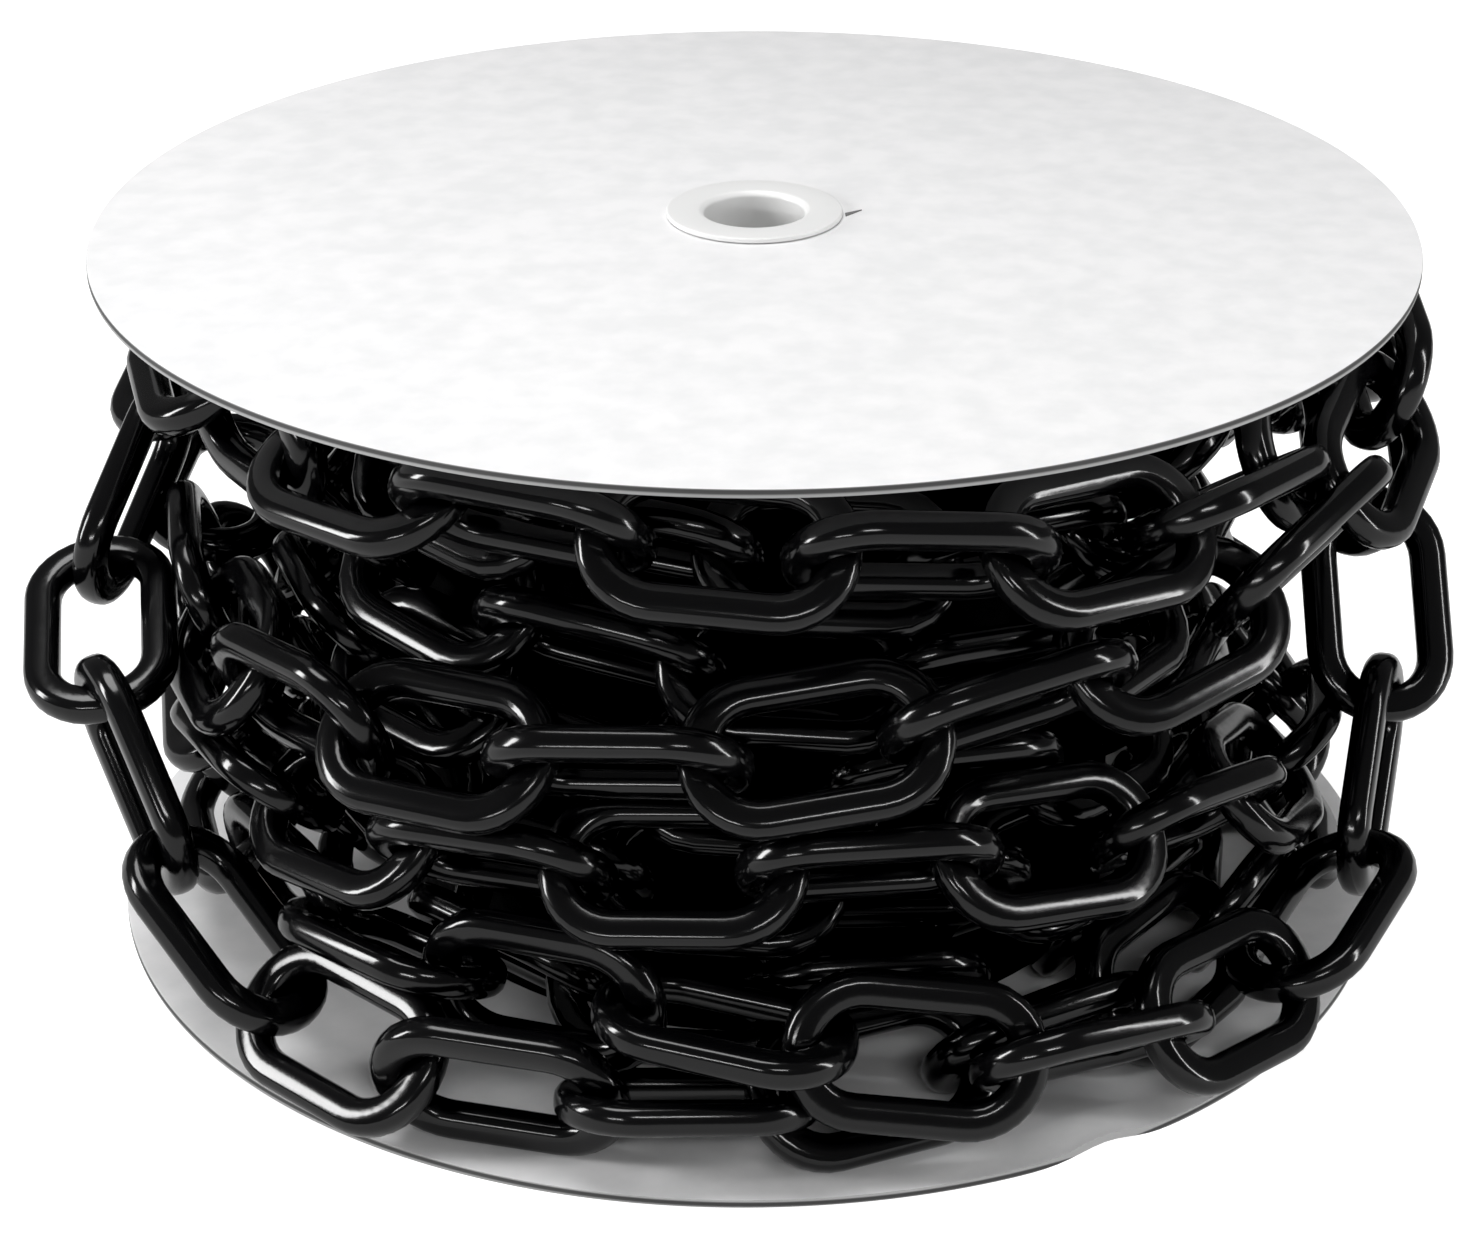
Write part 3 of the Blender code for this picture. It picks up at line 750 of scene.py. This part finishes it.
# the small torn flap of board that points away from the bush, painted dark grey: the torn board and painted
# shade in its crease
tear = {"outline": ((18.6, -1.4), (22.0, 2.5), (18.5, 0.2)), "sunk": -0.1, "raised": 0.25,
        "grey": 0.16, "roughness": 0.8}


def tearMark():
    material, tree, shader = newMaterial("tornEdgeShade")
    shader.inputs["Base Color"].default_value = (tear["grey"], tear["grey"], tear["grey"], 1)
    shader.inputs["Roughness"].default_value = tear["roughness"]
    shape = bmesh.new()
    low, high = ([shape.verts.new((mm * x, mm * y, mm * (domeHeight(x) + rise)))
                  for x, y in tear["outline"]] for rise in (tear["sunk"], tear["raised"]))
    shape.faces.new(low)
    shape.faces.new(high[::-1])
    for corner in range(len(low)):
        ahead = (corner + 1) % len(low)
        shape.faces.new((low[corner], low[ahead], high[ahead], high[corner]))
    bmesh.ops.recalc_face_normals(shape, faces=shape.faces)
    mesh = bpy.data.meshes.new("tearMark")
    shape.to_mesh(mesh)
    shape.free()
    mesh.materials.append(material)
    mark = bpy.data.objects.new("tearMark", mesh)
    bpy.context.scene.collection.objects.link(mark)
    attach(mark, "root")


tearMark()
print("tear mark made")

# the studio: a pale floor, a pale surrounding and the lights
backdrop = {"size": 4, "grey": 0.4, "roughness": 0.95, "specular": 0.1, "glow": 0.9, "reflectedGlow": 0.35}
softbox = {"direction": (-0.15, 0.1, 1), "angle": 36, "strength": 2.2}
lampAim = (0, 0, 0.07)
lamps = {
    "leftPanel": {"place": (-1.3, -0.2, 0.5), "aim": (0, 0, 0.05), "size": (0.25, 0.6), "power": 11.5},
    "rightStrip": {"place": (0.9, -0.3, 0.35), "aim": lampAim, "size": (0.06, 0.8), "power": 3.6},
    "frontLamp": {"place": (0.2, -1.25, 0.82), "aim": lampAim, "size": (0.45, 0.07), "power": 2.6},
    "lowFrontLamp": {"place": (-0.55, -1.25, 0.4), "aim": lampAim, "size": (0.45, 0.05), "power": 2.2},
}
surroundings = {"light": 0.1, "seen": 1.0}
blackLevel = 0.0015        # the photograph's deep blacks


def asBackdrop(tree, socket, reflected, seen):
    # full strength where it is seen past the reel, less in reflections and as light
    level = addNode(tree, "ShaderNodeMapRange")
    level.inputs["To Min"].default_value = reflected
    level.inputs["To Max"].default_value = seen
    path = addNode(tree, "ShaderNodeLightPath")
    tree.links.new(path.outputs["Is Camera Ray"], level.inputs["Value"])
    tree.links.new(level.outputs["Result"], socket)


def addFloor():
    shape = bmesh.new()
    bmesh.ops.create_grid(shape, x_segments=1, y_segments=1, size=backdrop["size"])
    mesh = bpy.data.meshes.new("floor")
    shape.to_mesh(mesh)
    shape.free()
    floor = bpy.data.objects.new("floor", mesh)
    bpy.context.scene.collection.objects.link(floor)
    material, tree, shader = newMaterial("paleFloor")
    shader.inputs["Base Color"].default_value = (backdrop["grey"], backdrop["grey"], backdrop["grey"], 1)
    shader.inputs["Roughness"].default_value = backdrop["roughness"]
    shader.inputs["Specular IOR Level"].default_value = backdrop["specular"]
    shader.inputs["Emission Color"].default_value = (1, 1, 1, 1)
    asBackdrop(tree, shader.inputs["Emission Strength"], backdrop["reflectedGlow"], backdrop["glow"])
    mesh.materials.append(material)


def placeLamp(name, data, place, aim):
    lamp = bpy.data.objects.new(name, data)
    lamp.location = place
    lamp.rotation_euler = (Vector(aim) - Vector(place)).to_track_quat("-Z", "Y").to_euler()
    bpy.context.scene.collection.objects.link(lamp)


def addLamp(name):
    lamp = lamps[name]
    data = bpy.data.lights.new(name, "AREA")
    data.shape = "RECTANGLE"
    data.size, data.size_y = lamp["size"]
    data.energy = lamp["power"]
    placeLamp(name, data, lamp["place"], lamp["aim"])


def addSoftbox():
    data = bpy.data.lights.new("overheadSoftbox", "SUN")
    data.angle = math.radians(softbox["angle"])
    data.energy = softbox["strength"]
    placeLamp("overheadSoftbox", data, softbox["direction"], (0, 0, 0))


def addWorld():
    world = bpy.data.worlds.new("studioWorld")
    world.use_nodes = True
    background = world.node_tree.nodes["Background"]
    background.inputs["Color"].default_value = (1, 1, 1, 1)
    asBackdrop(world.node_tree, background.inputs["Strength"], surroundings["light"], surroundings["seen"])
    bpy.context.scene.world = world


addFloor()
addWorld()
addSoftbox()
for name in lamps:
    addLamp(name)
view = bpy.context.scene.view_settings
view.view_transform = "Standard"
view.use_curve_mapping = True
view.curve_mapping.black_level = (blackLevel, blackLevel, blackLevel)
view.curve_mapping.update()
print("studio lit")
